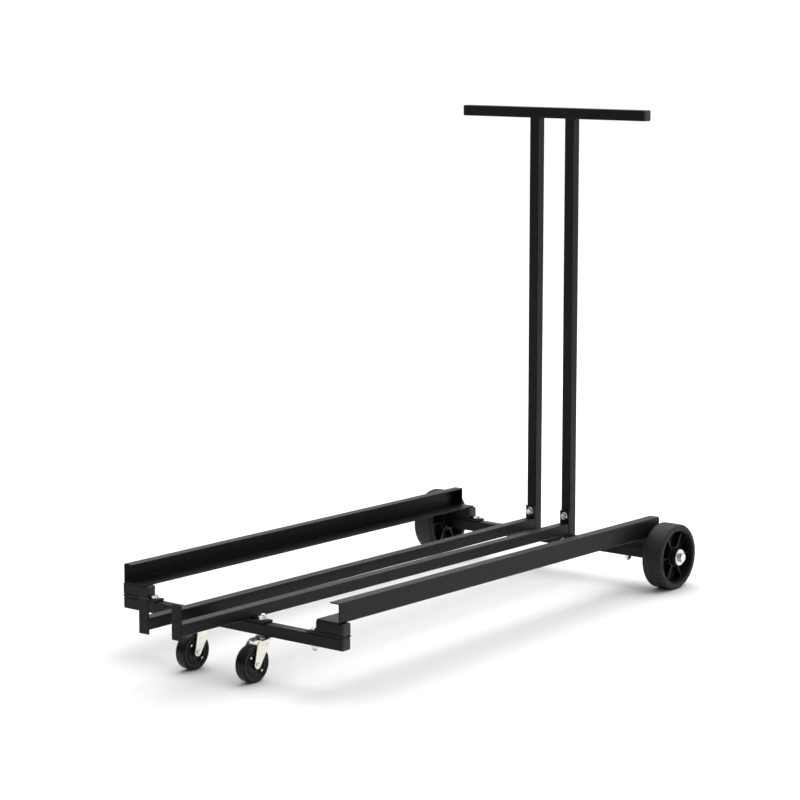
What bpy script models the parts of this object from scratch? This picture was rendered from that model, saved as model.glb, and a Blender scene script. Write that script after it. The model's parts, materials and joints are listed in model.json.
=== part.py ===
"""Push cart with a tall T handle: two middle rails, two outer channel rails, two rear wheels, two casters.

Metres, +Z up, +Y towards the handle, +X to the cart's right hand side seen from the casters' end.
The chassis is drawn level and then leaned about the rear axle, because the casters hold its front higher.
"""
import math

import bmesh
import bpy
from mathutils import Matrix, Vector

GAP = 0.0003
TUBE = 0.0254
WALL = 0.0020
CORNER = 0.0022
PLATE = 0.0040
PLATE_EASE = 0.0005
SIDES = (("left", -1), ("right", 1))

# Chassis, in its own level frame: X across, Y along, Z up from the floor under the rear axle.
AXLE_Z = 0.0772
REAR_Y = 0.5760
FRONT_Y = -0.5630
CHASSIS_LEAN = math.radians(1.48)
BEAM_HALF = 0.3122
BEAM_TOP = AXLE_Z + TUBE / 2
BEAM_FLOOR = AXLE_Z - TUBE / 2
SEAT_TOP = BEAM_TOP + GAP + 0.0050
AXLE_BLOCK = 0.0260

# Middle rails, which close in a little towards their free front ends.
RAIL_FLOOR = SEAT_TOP + GAP
RAIL_TOP = RAIL_FLOOR + TUBE
RAIL_X = 0.0510
RAIL_FRONT_X = 0.0462
RAIL_FRONT = -0.7790
RAIL_REAR = REAR_Y - TUBE / 2 - PLATE - 2 * GAP
RAIL_TOE = math.atan((RAIL_X - RAIL_FRONT_X) / (RAIL_REAR - RAIL_FRONT))
RAIL_SEAT_X = (0.0340, 0.0998)
STOP_WIDTH = 0.0263
STOP_Z = (0.0864, 0.1613)
HITCH_Z = (0.0660, 0.1519)
HITCH_BOLT_Z = 0.1386
HITCH_FLATS = 0.0130
HITCH_HEAD = 0.0068
HITCH_SHANK = 0.0040
HITCH_REACH = 0.0200
HITCH_FLANGE = 0.0095

# Outer rails, a channel bent from sheet, with a wide shelf below and a narrow lip on top.
CHANNEL_X = 0.3061
CHANNEL_Y = (-0.5785, 0.5865)
CHANNEL_FLOOR = RAIL_TOP + GAP
CHANNEL_TOP = CHANNEL_FLOOR + 0.0432
CHANNEL_SHEET = 0.0030
CHANNEL_LIP = 0.0256
CHANNEL_SHELF = 0.0614
CHANNEL_BEND = 0.0040

SPACER_X = (0.2385, 0.3130)
CLAMP_X = (0.2140, 0.3119)
CLAMP_BOLT_X = 0.2270
CLAMP_FLATS = 0.0143
CLAMP_HEAD = 0.0062
CLAMP_SHANK = 0.0046
CLAMP_LENGTH = 0.0436
CLAMP_NUT = 0.0082
DRAIN_R = 0.0030

BAR_Z = 1.1050
BAR_HALF = 0.2610
CAP_HEAD = 0.0043
CAP_EASE = 0.0024
PLUG_FLANGE = 0.0026
PLUG_EASE = 0.0008
PLUG_DEPTH = 0.0120

WHEEL_R = AXLE_Z
WHEEL_X = (0.3150, 0.3675)
TYRE_BORE = 0.0640
TYRE_SHOULDER = 0.0060
RIM_INNER = 0.0600
RIM_SETBACK = 0.0030
WEB_X = (0.3225, 0.3600)
WEB_HALF = 0.0030
BOSS_X = (0.3134, 0.3702)
BOSS_R = 0.0215
POCKET_R = (BOSS_R + 0.0015, RIM_INNER - 0.0010)
SPOKES = 6
SPOKE_HALF = 0.0028
AXLE_R = 0.0062
AXLE_FLATS = 0.0190
AXLE_HEAD = 0.0080
AXLE_LENGTH = 0.0840
WASHER_R = 0.0189
WASHER_T = 0.0026

# Casters, upright in the world, measured from their own pivot line and the floor.
CASTER_X = 0.0850
CASTER_R = 0.0395
CASTER_HALF = 0.0132
CASTER_TRAIL = 0.0380
CASTER_AXLE_R = 0.0040
FORK_SHEET = 0.0026
FORK_HALF = 0.0168
FORK_INNER = FORK_HALF - FORK_SHEET
FORK_TIP_R = 0.0092
CROWN_HALF = 0.0175
CROWN_FRONT = -0.0360
CROWN_CORNER = 0.0140
CROWN_Z = (0.0812, 0.0884)
CROWN_CEILING = CROWN_Z[1] - FORK_SHEET
LEG_TOP_Y = (-0.0370, 0.0030)
STEM_R = 0.0048
STEM_HOLE = 0.0064
KINGPIN_HEAD_R = 0.0078
RACE_R = 0.0180
RACE_T = 0.0020
STEM_NUT_FLATS = 0.0148
STEM_NUT_HEIGHT = 0.0092

AXLE_POINT = Vector((0.0, REAR_Y, AXLE_Z))
AXLE_SHIFT = Matrix.Translation(AXLE_POINT)
LEAN = AXLE_SHIFT @ Matrix.Rotation(-CHASSIS_LEAN, 4, "X") @ AXLE_SHIFT.inverted()
NOSE_Y = (LEAN @ Vector((0.0, RAIL_FRONT - GAP - PLATE, STOP_Z[0]))).y
TAIL_Y = REAR_Y + WHEEL_R
CENTRE = Matrix.Translation((0.0, -(NOSE_Y + TAIL_Y) / 2, 0.0))
CHASSIS = CENTRE @ LEAN


def clear_scene():
    for obj in list(bpy.data.objects):
        bpy.data.objects.remove(obj, do_unlink=True)


def material(name, colour, roughness, metallic):
    mat = bpy.data.materials.new(name)
    mat.use_nodes = True
    shader = mat.node_tree.nodes["Principled BSDF"]
    shader.inputs["Base Color"].default_value = (*colour, 1.0)
    shader.inputs["Roughness"].default_value = roughness
    shader.inputs["Metallic"].default_value = metallic
    return mat


def add_object(name, bm, mat, frame=CHASSIS, origin=(0.0, 0.0, 0.0), smooth=False):
    """Make an object from a bmesh drawn in the given frame, with its origin at a point of that frame."""
    bmesh.ops.transform(bm, matrix=frame, verts=bm.verts)
    bmesh.ops.recalc_face_normals(bm, faces=bm.faces)
    place = frame @ Vector(origin)
    bmesh.ops.translate(bm, vec=-place, verts=bm.verts)
    mesh = bpy.data.meshes.new(name)
    bm.to_mesh(mesh)
    bm.free()
    if smooth:
        mesh.shade_smooth()
        mesh.set_sharp_from_angle(angle=math.radians(35))
    if mat is not None:
        mesh.materials.append(mat)
    obj = bpy.data.objects.new(name, mesh)
    obj.location = place
    bpy.context.scene.collection.objects.link(obj)
    return obj


def combine(target, bm, operation, frame=CHASSIS):
    """Join a hidden helper solid to the target, or cut it away, with an exact Boolean."""
    name = f"{target.name}.{operation.lower()}{len(target.modifiers)}"
    helper = add_object(name, bm, None, frame)
    helper.hide_render = True
    helper.display_type = "WIRE"
    modifier = target.modifiers.new(name, "BOOLEAN")
    modifier.operation = operation
    modifier.solver = "EXACT"
    modifier.object = helper


def cut(target, bm, frame=CHASSIS):
    combine(target, bm, "DIFFERENCE", frame)


def around(centre, half):
    return (centre - half, centre + half)


def across(side, pair):
    """An X interval given for the right hand side, moved to the side asked for (+1 right, -1 left)."""
    return tuple(sorted((side * pair[0], side * pair[1])))


def box(x, y, z, bevel=0.0):
    """A closed box between pairs of coordinates, with its edges eased."""
    bm = bmesh.new()
    bmesh.ops.create_cube(bm, size=1.0)
    size = Vector((x[1] - x[0], y[1] - y[0], z[1] - z[0]))
    middle = Vector((x[0] + x[1], y[0] + y[1], z[0] + z[1])) / 2
    bmesh.ops.scale(bm, vec=size, verts=bm.verts)
    bmesh.ops.translate(bm, vec=middle, verts=bm.verts)
    if bevel:
        bmesh.ops.bevel(bm, geom=bm.edges[:], offset=bevel, segments=1, profile=0.5, affect="EDGES")
    return bm


def rounded_square(u, v, half, radius, segments=2):
    """Corner arcs of a square outline about (u, v), anticlockwise."""
    points = []
    reach = math.sqrt(2) * (half - radius)
    for quarter in range(4):
        middle = math.radians(45 + 90 * quarter)
        corner = Vector((u + reach * math.cos(middle), v + reach * math.sin(middle)))
        for step in range(segments + 1):
            angle = math.radians(90 * quarter + 90 * step / segments)
            points.append(corner + Vector((math.cos(angle), math.sin(angle))) * radius)
    return points


def sweep(loops, start, end, axis):
    """Extrude an outline, with or without an inner outline of as many points, along an axis."""
    place = {
        "X": lambda p, t: (t, p[0], p[1]),
        "Y": lambda p, t: (p[0], t, p[1]),
        "Z": lambda p, t: (p[0], p[1], t),
    }[axis]
    bm = bmesh.new()
    rings = [[[bm.verts.new(place(p, t)) for p in loop] for loop in loops] for t in (start, end)]
    count = len(loops[0])
    steps = [(i, (i + 1) % count) for i in range(count)]
    for first, last in zip(*rings):
        for i, j in steps:
            bm.faces.new((first[i], first[j], last[j], last[i]))
    for ring in rings:
        if len(ring) == 1:
            bm.faces.new(ring[0])
            continue
        for i, j in steps:
            bm.faces.new((ring[0][i], ring[0][j], ring[1][j], ring[1][i]))
    return bm


def square_tube(u, v, span, axis):
    """A hollow square tube about the line (u, v), open at both ends."""
    outer = rounded_square(u, v, TUBE / 2, CORNER)
    inner = rounded_square(u, v, TUBE / 2 - WALL, CORNER / 3)
    return sweep([outer, inner], *span, axis)


def turned(profile, centre, axis, segments=32, hexed=()):
    """Turn (distance along the axis, radius) points about a line through the centre.

    A profile that starts and ends on the axis is closed there, and any other is closed into a ring.
    The points whose numbers are in hexed follow a hexagon instead of a circle.
    """
    place = {
        "X": lambda t, u, v: (t, u, v),
        "Y": lambda t, u, v: (v, t, u),
        "Z": lambda t, u, v: (u, v, t),
    }[axis]
    bm = bmesh.new()
    rings = []
    for index, (t, radius) in enumerate(profile):
        if radius == 0.0:
            rings.append([bm.verts.new(place(t, 0.0, 0.0))] * segments)
            continue
        ring = []
        for k in range(segments):
            angle = 2 * math.pi * k / segments
            reach = radius
            if index in hexed:
                off = abs((angle + math.pi / 6) % (math.pi / 3) - math.pi / 6)
                reach = radius * math.cos(math.pi / 6) / math.cos(math.pi / 6 - off)
            ring.append(bm.verts.new(place(t, reach * math.cos(angle), reach * math.sin(angle))))
        rings.append(ring)
    pairs = list(zip(rings, rings[1:]))
    if profile[0][1] and profile[-1][1]:
        pairs.append((rings[-1], rings[0]))
    for one, two in pairs:
        for k in range(segments):
            n = (k + 1) % segments
            corners = (one[k], one[n], two[n], two[k])
            bm.faces.new(tuple(dict.fromkeys(corners)))
    bmesh.ops.translate(bm, vec=Vector(centre), verts=bm.verts)
    return bm


def rod(radius, span, centre, axis, segments=16):
    """A closed cylinder along an axis."""
    start, end = span
    return turned([(start, 0.0), (start, radius), (end, radius), (end, 0.0)], centre, axis, segments)


def hex_bolt(flats, head, shank_radius, length, out, centre, axis, flange=0.0):
    """A bolt whose head stands on the centre and points along out (+1 or -1), its shank the other way."""
    corner = flats / math.sqrt(3)
    ease = 0.0010
    foot = 0.0018 if flange else 0.0
    profile = [
        (out * head, 0.0),
        (out * head, corner - 2 * ease),
        (out * (head - ease), corner),
        (out * foot, corner),
    ]
    if flange:
        profile += [(out * foot, flange - ease), (out * ease / 2, flange), (0.0, flange)]
    profile += [
        (0.0, shank_radius),
        (-out * (length - ease), shank_radius),
        (-out * length, shank_radius - ease),
        (-out * length, 0.0),
    ]
    return turned(profile, centre, axis, 18, hexed=(2, 3))


def hex_nut(flats, span, hole_radius, centre, axis):
    """A nut with both rims chamfered and a plain hole."""
    corner = flats / math.sqrt(3)
    ease = 0.0010
    start, end = span
    profile = [
        (start, hole_radius),
        (start, corner - 2 * ease),
        (start + ease, corner),
        (end - ease, corner),
        (end, corner - 2 * ease),
        (end, hole_radius),
    ]
    return turned(profile, centre, axis, 18, hexed=(2, 3))


def arc(centre, radius, first, last, steps):
    """Points on an arc about a 2-D centre, angles in degrees."""
    angles = [math.radians(first + (last - first) * k / steps) for k in range(steps + 1)]
    return [(centre[0] + radius * math.cos(a), centre[1] + radius * math.sin(a)) for a in angles]


def cross_beams(paint, cap):
    half = BEAM_HALF - PLUG_FLANGE - GAP
    front = add_object("front_cross_beam", square_tube(FRONT_Y, AXLE_Z, (-half, half), "X"), paint)
    for side in (-1, 1):
        cut(front, rod(CLAMP_SHANK + GAP, (-TUBE, TUBE), (side * CLAMP_BOLT_X, FRONT_Y, AXLE_Z), "Z"))
        cut(front, rod(STEM_HOLE, (-TUBE, TUBE), (side * CASTER_X, FRONT_Y, AXLE_Z), "Z"))

    outline = rounded_square(REAR_Y, AXLE_Z, TUBE / 2, CORNER)
    rear = add_object("rear_cross_beam", sweep([outline], -BEAM_HALF, BEAM_HALF, "X"), paint)
    hollow = TUBE / 2 - WALL
    inside = BEAM_HALF - AXLE_BLOCK
    beyond = BEAM_HALF + TUBE
    cut(rear, box((-inside, inside), around(REAR_Y, hollow), around(AXLE_Z, hollow)))
    cut(rear, rod(AXLE_R + GAP, (-beyond, beyond), (0.0, REAR_Y, AXLE_Z), "X", 24))
    for side in (-1, 1):
        cut(rear, rod(CLAMP_SHANK + GAP, (-TUBE, TUBE), (side * CLAMP_BOLT_X, REAR_Y, AXLE_Z), "Z"))
        cut(rear, rod(HITCH_SHANK + GAP, (-TUBE, 0.0), (side * RAIL_X, REAR_Y, AXLE_Z), "Y"))

    for name, side in SIDES:
        end_plug(f"{name}_beam_plug", cap, (side * BEAM_HALF, FRONT_Y, AXLE_Z), -side, PLUG_FLANGE, PLUG_EASE)


def end_plug(name, mat, end, inward, flange, ease):
    """A moulded plug: a flange that covers a tube's end along X, and a hollow stub inside the tube."""
    x, y, z = end
    faces = rounded_square(y, z, TUBE / 2, CORNER)
    eased = rounded_square(y, z, TUBE / 2 - ease, CORNER)
    stub = rounded_square(y, z, TUBE / 2 - WALL - GAP, CORNER / 3)
    bore = rounded_square(y, z, TUBE / 2 - 2 * WALL, CORNER / 3)
    sections = [
        (0.0, eased),
        (ease, faces),
        (flange, faces),
        (flange, stub),
        (flange + PLUG_DEPTH, stub),
        (flange + PLUG_DEPTH, bore),
        (flange, bore),
    ]
    bm = bmesh.new()
    rings = [[bm.verts.new((x + inward * depth, *p)) for p in outline] for depth, outline in sections]
    count = len(faces)
    for one, two in zip(rings, rings[1:]):
        for i in range(count):
            j = (i + 1) % count
            bm.faces.new((one[i], one[j], two[j], two[i]))
    bm.faces.new(rings[0])
    bm.faces.new(rings[-1])
    add_object(name, bm, mat)


def toed_in(side):
    """The frame of a middle rail, turned about its rear end so that its front closes in."""
    rear = Matrix.Translation((side * RAIL_X, RAIL_REAR, 0.0))
    return CHASSIS @ rear @ Matrix.Rotation(-side * RAIL_TOE, 4, "Z") @ rear.inverted()


def middle_rails(paint):
    for name, side in SIDES:
        rail = square_tube(side * RAIL_X, RAIL_FLOOR + TUBE / 2, (RAIL_FRONT, RAIL_REAR), "Y")
        add_object(f"{name}_middle_rail", rail, paint, toed_in(side))

        x = around(side * RAIL_X, STOP_WIDTH / 2)
        stop = box(x, (RAIL_FRONT - GAP - PLATE, RAIL_FRONT - GAP), STOP_Z, PLATE_EASE)
        add_object(f"{name}_stop_plate", stop, paint, toed_in(side))

        hitch = box(x, (RAIL_REAR + GAP, RAIL_REAR + GAP + PLATE), HITCH_Z, PLATE_EASE)
        hitch = add_object(f"{name}_hitch_plate", hitch, paint)
        for z in (AXLE_Z, HITCH_BOLT_Z):
            cut(hitch, rod(HITCH_SHANK + GAP, (-TUBE, TUBE), (side * RAIL_X, RAIL_REAR, z), "Y"))

        seat_z = (BEAM_TOP + GAP, SEAT_TOP)
        seat = box(across(side, RAIL_SEAT_X), around(FRONT_Y, TUBE / 2), seat_z, PLATE_EASE)
        seat = add_object(f"{name}_rail_seat", seat, paint)
        cut(seat, rod(STEM_HOLE, (-TUBE, TUBE), (side * CASTER_X, FRONT_Y, BEAM_TOP), "Z"))


def hitch_bolts(zinc):
    """Flanged bolts through each hitch plate: the upper one into the post, the lower into the beam."""
    for name, side in SIDES:
        for level, z in (("upper", HITCH_BOLT_Z), ("lower", AXLE_Z)):
            seat = (side * RAIL_X, RAIL_REAR, z)
            bolt = hex_bolt(HITCH_FLATS, HITCH_HEAD, HITCH_SHANK, HITCH_REACH, -1, seat, "Y", HITCH_FLANGE)
            add_object(f"{name}_{level}_hitch_bolt", bolt, zinc, smooth=True)


def channel_outline(side):
    """The outer rail's section: a wall, a narrow lip on top and a wide shelf below, bent from sheet."""
    outer = CHANNEL_BEND
    inner = CHANNEL_BEND - CHANNEL_SHEET
    shelf = CHANNEL_X - CHANNEL_SHELF
    lip = CHANNEL_X - CHANNEL_LIP
    floor, top = CHANNEL_FLOOR, CHANNEL_TOP
    low = (CHANNEL_X - outer, floor + outer)
    high = (CHANNEL_X - outer, top - outer)
    points = [(shelf, floor)]
    points += arc(low, outer, -90, 0, 3)
    points += arc(high, outer, 0, 90, 3)
    points += [(lip, top), (lip, top - CHANNEL_SHEET)]
    points += arc(high, inner, 90, 0, 2)
    points += arc(low, inner, 0, -90, 2)
    points += [(shelf, floor + CHANNEL_SHEET)]
    return [(side * x, z) for x, z in points]


def outer_rails(paint):
    for name, side in SIDES:
        add_object(f"{name}_outer_rail", sweep([channel_outline(side)], *CHANNEL_Y, "Y"), paint, smooth=True)
        rear = CHANNEL_Y[1] - GAP
        x = across(side, (CHANNEL_X - CHANNEL_LIP, CHANNEL_X - CHANNEL_SHEET - GAP))
        z = (CHANNEL_FLOOR + CHANNEL_SHEET + GAP, CHANNEL_TOP - CHANNEL_SHEET - GAP)
        add_object(f"{name}_rail_end_plate", box(x, (rear - CHANNEL_SHEET, rear), z, PLATE_EASE), paint)


def spacers(paint):
    """Closed box spacers, each with a drain hole in its floor, on clamp plates bolted to the beams."""
    for end, y in (("front", FRONT_Y), ("rear", REAR_Y)):
        for name, side in SIDES:
            spacer = box(across(side, SPACER_X), around(y, TUBE / 2), (RAIL_FLOOR, RAIL_TOP), CORNER / 2)
            spacer = add_object(f"{end}_{name}_spacer", spacer, paint)
            inside = (SPACER_X[0] + WALL, SPACER_X[1] - WALL)
            hollow = TUBE / 2 - WALL
            middle = RAIL_FLOOR + TUBE / 2
            cut(spacer, box(across(side, inside), around(y, hollow), around(middle, hollow)))
            drain = (side * sum(SPACER_X) / 2, y, RAIL_FLOOR)
            cut(spacer, rod(DRAIN_R, (-2 * WALL, 2 * WALL), drain, "Z", 12))

            plate = box(across(side, CLAMP_X), around(y, TUBE / 2), (BEAM_TOP + GAP, SEAT_TOP), PLATE_EASE)
            plate = add_object(f"{end}_{name}_clamp_plate", plate, paint)
            for x, radius in ((CLAMP_BOLT_X, CLAMP_SHANK + GAP), (sum(SPACER_X) / 2, DRAIN_R)):
                cut(plate, rod(radius, (-TUBE, TUBE), (side * x, y, BEAM_TOP), "Z"))


def clamp_bolts(zinc):
    for end, y in (("front", FRONT_Y), ("rear", REAR_Y)):
        for name, side in SIDES:
            seat = (side * CLAMP_BOLT_X, y, SEAT_TOP + GAP)
            bolt = hex_bolt(CLAMP_FLATS, CLAMP_HEAD, CLAMP_SHANK, CLAMP_LENGTH, 1, seat, "Z")
            add_object(f"{end}_{name}_clamp_bolt", bolt, zinc, smooth=True)
            under = (side * CLAMP_BOLT_X, y, BEAM_FLOOR - GAP)
            tightened = hex_nut(CLAMP_FLATS, (-CLAMP_NUT, 0.0), CLAMP_SHANK + GAP, under, "Z")
            add_object(f"{end}_{name}_clamp_nut", tightened, zinc, smooth=True)


def handle(paint, cap):
    """Two posts that stand on the rear beam, and the grip bar across their tops."""
    bar_floor = BAR_Z - TUBE / 2
    for name, side in SIDES:
        span = (BEAM_TOP + GAP, bar_floor - GAP)
        post = add_object(f"{name}_post", square_tube(side * RAIL_X, REAR_Y, span, "Z"), paint)
        cut(post, rod(HITCH_SHANK + GAP, (-TUBE, 0.0), (side * RAIL_X, REAR_Y, HITCH_BOLT_Z), "Y"))
    add_object("handle_bar", square_tube(REAR_Y, BAR_Z, (-BAR_HALF, BAR_HALF), "X"), paint)
    for name, side in SIDES:
        end = (side * (BAR_HALF + GAP + CAP_HEAD), REAR_Y, BAR_Z)
        end_plug(f"{name}_handle_cap", cap, end, -side, CAP_HEAD, CAP_EASE)


def tyre_profile():
    """Half turned section of the solid tyre, from the bore round both shoulders."""
    start, end = WHEEL_X
    ease = TYRE_SHOULDER
    profile = [(start, TYRE_BORE)]
    profile += arc((start + ease, WHEEL_R - ease), ease, 180, 90, 3)
    profile += arc((end - ease, WHEEL_R - ease), ease, 90, 0, 3)
    profile += [(end, TYRE_BORE)]
    return profile


def hub_profile():
    """The hub's turned section before its pockets are cut: boss, thick web and rim."""
    bore = AXLE_R + 2 * GAP
    rim = TYRE_BORE - GAP
    draft = 0.0015
    near, far = WHEEL_X[0] + RIM_SETBACK, WHEEL_X[1] - RIM_SETBACK
    return [
        (BOSS_X[0], bore),
        (BOSS_X[0], BOSS_R - draft),
        (WEB_X[0], BOSS_R),
        (WEB_X[0], RIM_INNER),
        (near, RIM_INNER + draft / 2),
        (near, rim),
        (far, rim),
        (far, RIM_INNER + draft / 2),
        (WEB_X[1], RIM_INNER),
        (WEB_X[1], BOSS_R),
        (BOSS_X[1], BOSS_R - draft),
        (BOSS_X[1], bore),
    ]


def pocket_outline(middle):
    """One pocket between two straight ribs, about the axle, as seen along it."""
    inner, outer = POCKET_R
    half = math.pi / SPOKES
    far = half - math.asin(SPOKE_HALF / outer)
    near = half - math.asin(SPOKE_HALF / inner)
    steps = 4
    outline = [(outer, middle - far + 2 * far * k / steps) for k in range(steps + 1)]
    outline += [(inner, middle + near - near * k) for k in range(3)]
    return [(REAR_Y + r * math.sin(a), AXLE_Z + r * math.cos(a)) for r, a in outline]


def rear_wheels(rubber, plastic, zinc):
    for name, side in SIDES:
        def along(profile):
            return [(side * t, radius) for t, radius in profile]

        axle = (0.0, REAR_Y, AXLE_Z)
        origin = (side * sum(WHEEL_X) / 2, REAR_Y, AXLE_Z)
        tyre = turned(along(tyre_profile()), axle, "X", 48)
        add_object(f"{name}_rear_tyre", tyre, rubber, origin=origin, smooth=True)
        hub = turned(along(hub_profile()), axle, "X", 36)
        hub = add_object(f"{name}_rear_hub", hub, plastic, origin=origin, smooth=True)
        web = sum(WEB_X) / 2
        for depth in ((web + WEB_HALF, BOSS_X[1]), (BOSS_X[0], web - WEB_HALF)):
            start, end = across(side, depth)
            for k in range(SPOKES):
                outline = pocket_outline(2 * math.pi * k / SPOKES)
                cut(hub, sweep([outline], start, end, "X"))

        washer_x = (BOSS_X[1] + GAP, BOSS_X[1] + GAP + WASHER_T)
        inner, outer = washer_x
        ring = [(inner, AXLE_R + GAP), (inner, WASHER_R), (outer, WASHER_R), (outer, AXLE_R + GAP)]
        add_object(f"{name}_axle_washer", turned(along(ring), axle, "X", 32), zinc, smooth=True)
        seat = (side * (outer + GAP), REAR_Y, AXLE_Z)
        bolt = hex_bolt(AXLE_FLATS, AXLE_HEAD, AXLE_R, AXLE_LENGTH, side, seat, "X")
        add_object(f"{name}_axle_bolt", bolt, zinc, smooth=True)


def crown_outline(inset):
    """The caster fork's crown from above: round about the pivot, squarer over the wheel."""
    half = CROWN_HALF - inset
    corner = CROWN_CORNER - inset
    front = CROWN_FRONT + CROWN_CORNER
    outline = arc((0.0, 0.0), half, 0, 180, 12)
    outline += arc((corner - half, front), corner, 180, 270, 5)
    outline += arc((half - corner, front), corner, 270, 360, 5)
    return outline


def leg_outline():
    """One leg of the caster fork from the side: up into the crown, and round the axle below."""
    front, back = LEG_TOP_Y
    low = CROWN_Z[0]
    high = CROWN_CEILING + FORK_SHEET / 2
    slope = high - low
    outline = [(back, low), (back - slope, high), (front + slope, high), (front, low)]
    return outline + arc((-CASTER_TRAIL, CASTER_R), FORK_TIP_R, 190, 325, 8)


def caster_fork(name, frame, zinc):
    """An upturned dish of a crown with two legs, drilled for the kingpin and the axle."""
    fork = add_object(f"{name}_caster_fork", sweep([crown_outline(0.0)], *CROWN_Z, "Z"), zinc, frame)
    cut(fork, sweep([crown_outline(FORK_SHEET)], CROWN_Z[0] - TUBE, CROWN_CEILING, "Z"), frame)
    for side in (-1, 1):
        start, end = across(side, (FORK_INNER, FORK_HALF))
        combine(fork, sweep([leg_outline()], start, end, "X"), "UNION", frame)
    cut(fork, rod(STEM_R + GAP, (CROWN_Z[0], CROWN_Z[1] + TUBE), (0, 0, 0), "Z", 24), frame)
    axle = (0.0, -CASTER_TRAIL, CASTER_R)
    cut(fork, rod(CASTER_AXLE_R + GAP, (-TUBE, TUBE), axle, "X"), frame)


def caster_wheel_profile():
    """Turned section of the hard wheel: tread, a raised ring on each face and a hub."""
    half = CASTER_HALF
    hub = FORK_INNER - GAP
    face = [
        (hub, CASTER_AXLE_R + GAP),
        (hub, 0.0096),
        (half - 0.0042, 0.0104),
        (half - 0.0042, 0.0205),
        (half - 0.0006, 0.0225),
        (half - 0.0006, 0.0262),
        (half - 0.0022, 0.0280),
        (half, CASTER_R - 0.0036),
        (half - 0.0010, CASTER_R - 0.0010),
        (half - 0.0036, CASTER_R),
    ]
    return face + [(-t, radius) for t, radius in reversed(face)]


def stem_profile(beam_floor, seat_top):
    """The fixed half of the swivel: threaded stem, boss, race disc and the kingpin's head below."""
    ease = 0.0010
    tip = seat_top + STEM_NUT_HEIGHT + 0.0036
    race = CROWN_Z[1] + GAP
    head = CROWN_CEILING - GAP
    return [
        (tip, 0.0),
        (tip, STEM_R - ease),
        (tip - ease, STEM_R),
        (beam_floor, STEM_R),
        (beam_floor, 2 * STEM_R),
        (race + RACE_T, 2 * STEM_R + ease),
        (race + RACE_T, RACE_R - ease),
        (race, RACE_R),
        (race, STEM_R),
        (head, STEM_R),
        (head, KINGPIN_HEAD_R),
        (head - 2 * ease, KINGPIN_HEAD_R),
        (head - 3 * ease, 0.0),
    ]


def casters(zinc, hard_rubber):
    """Swivel casters, whose stems go up through the front beam and the rail seats."""
    corners = [CHASSIS @ Vector((0.0, FRONT_Y + step, BEAM_FLOOR)) for step in (-TUBE / 2, TUBE / 2)]
    beam_floor = min(corner.z for corner in corners) - GAP
    seat_top = (CHASSIS @ Vector((0.0, FRONT_Y - TUBE / 2, SEAT_TOP))).z + GAP
    axle = (0.0, -CASTER_TRAIL, CASTER_R)
    pin = FORK_HALF + GAP
    tip = pin + 0.0016
    rivet = [(-tip, 0.0), (-tip, CASTER_AXLE_R), (-pin, 1.4 * CASTER_AXLE_R), (-pin, CASTER_AXLE_R)]
    rivet += [(-t, radius) for t, radius in reversed(rivet)]
    for name, side in SIDES:
        pivot = CHASSIS @ Vector((side * CASTER_X, FRONT_Y, AXLE_Z))
        frame = Matrix.Translation((pivot.x, pivot.y, 0.0))
        stem = turned(stem_profile(beam_floor, seat_top), (0, 0, 0), "Z", 24)
        add_object(f"{name}_caster_stem", stem, zinc, frame, smooth=True)
        nut = hex_nut(STEM_NUT_FLATS, (seat_top, seat_top + STEM_NUT_HEIGHT), STEM_R + GAP, (0, 0, 0), "Z")
        add_object(f"{name}_caster_nut", nut, zinc, frame, smooth=True)
        caster_fork(name, frame, zinc)
        pivot_pin = turned(rivet, axle, "X", 16)
        add_object(f"{name}_caster_axle", pivot_pin, zinc, frame, axle, smooth=True)
        wheel = turned(caster_wheel_profile(), axle, "X", 32)
        add_object(f"{name}_caster_wheel", wheel, hard_rubber, frame, axle, smooth=True)


def main():
    clear_scene()
    paint = material("black_powder_coat", (0.018, 0.018, 0.020), 0.38, 0.0)
    cap = material("black_plastic", (0.022, 0.022, 0.024), 0.45, 0.0)
    zinc = material("bright_zinc", (0.78, 0.79, 0.78), 0.28, 1.0)
    rubber = material("solid_rubber", (0.050, 0.050, 0.052), 0.60, 0.0)
    plastic = material("moulded_hub", (0.040, 0.040, 0.042), 0.42, 0.0)
    hard_rubber = material("hard_rubber", (0.025, 0.024, 0.026), 0.50, 0.0)
    cross_beams(paint, cap)
    middle_rails(paint)
    hitch_bolts(zinc)
    outer_rails(paint)
    spacers(paint)
    clamp_bolts(zinc)
    handle(paint, cap)
    rear_wheels(rubber, plastic, zinc)
    casters(zinc, hard_rubber)


main()
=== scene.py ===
"""Looks of the push cart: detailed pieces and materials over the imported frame, floor, light and camera.

Metres, in the frame's own axes: X across, +Y towards the handle, Z up. Most of the cart is drawn in
level coordinates and then leaned about the rear axle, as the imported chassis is.
"""
import json
import math

import bmesh
import bpy
from mathutils import Matrix, Vector


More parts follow.
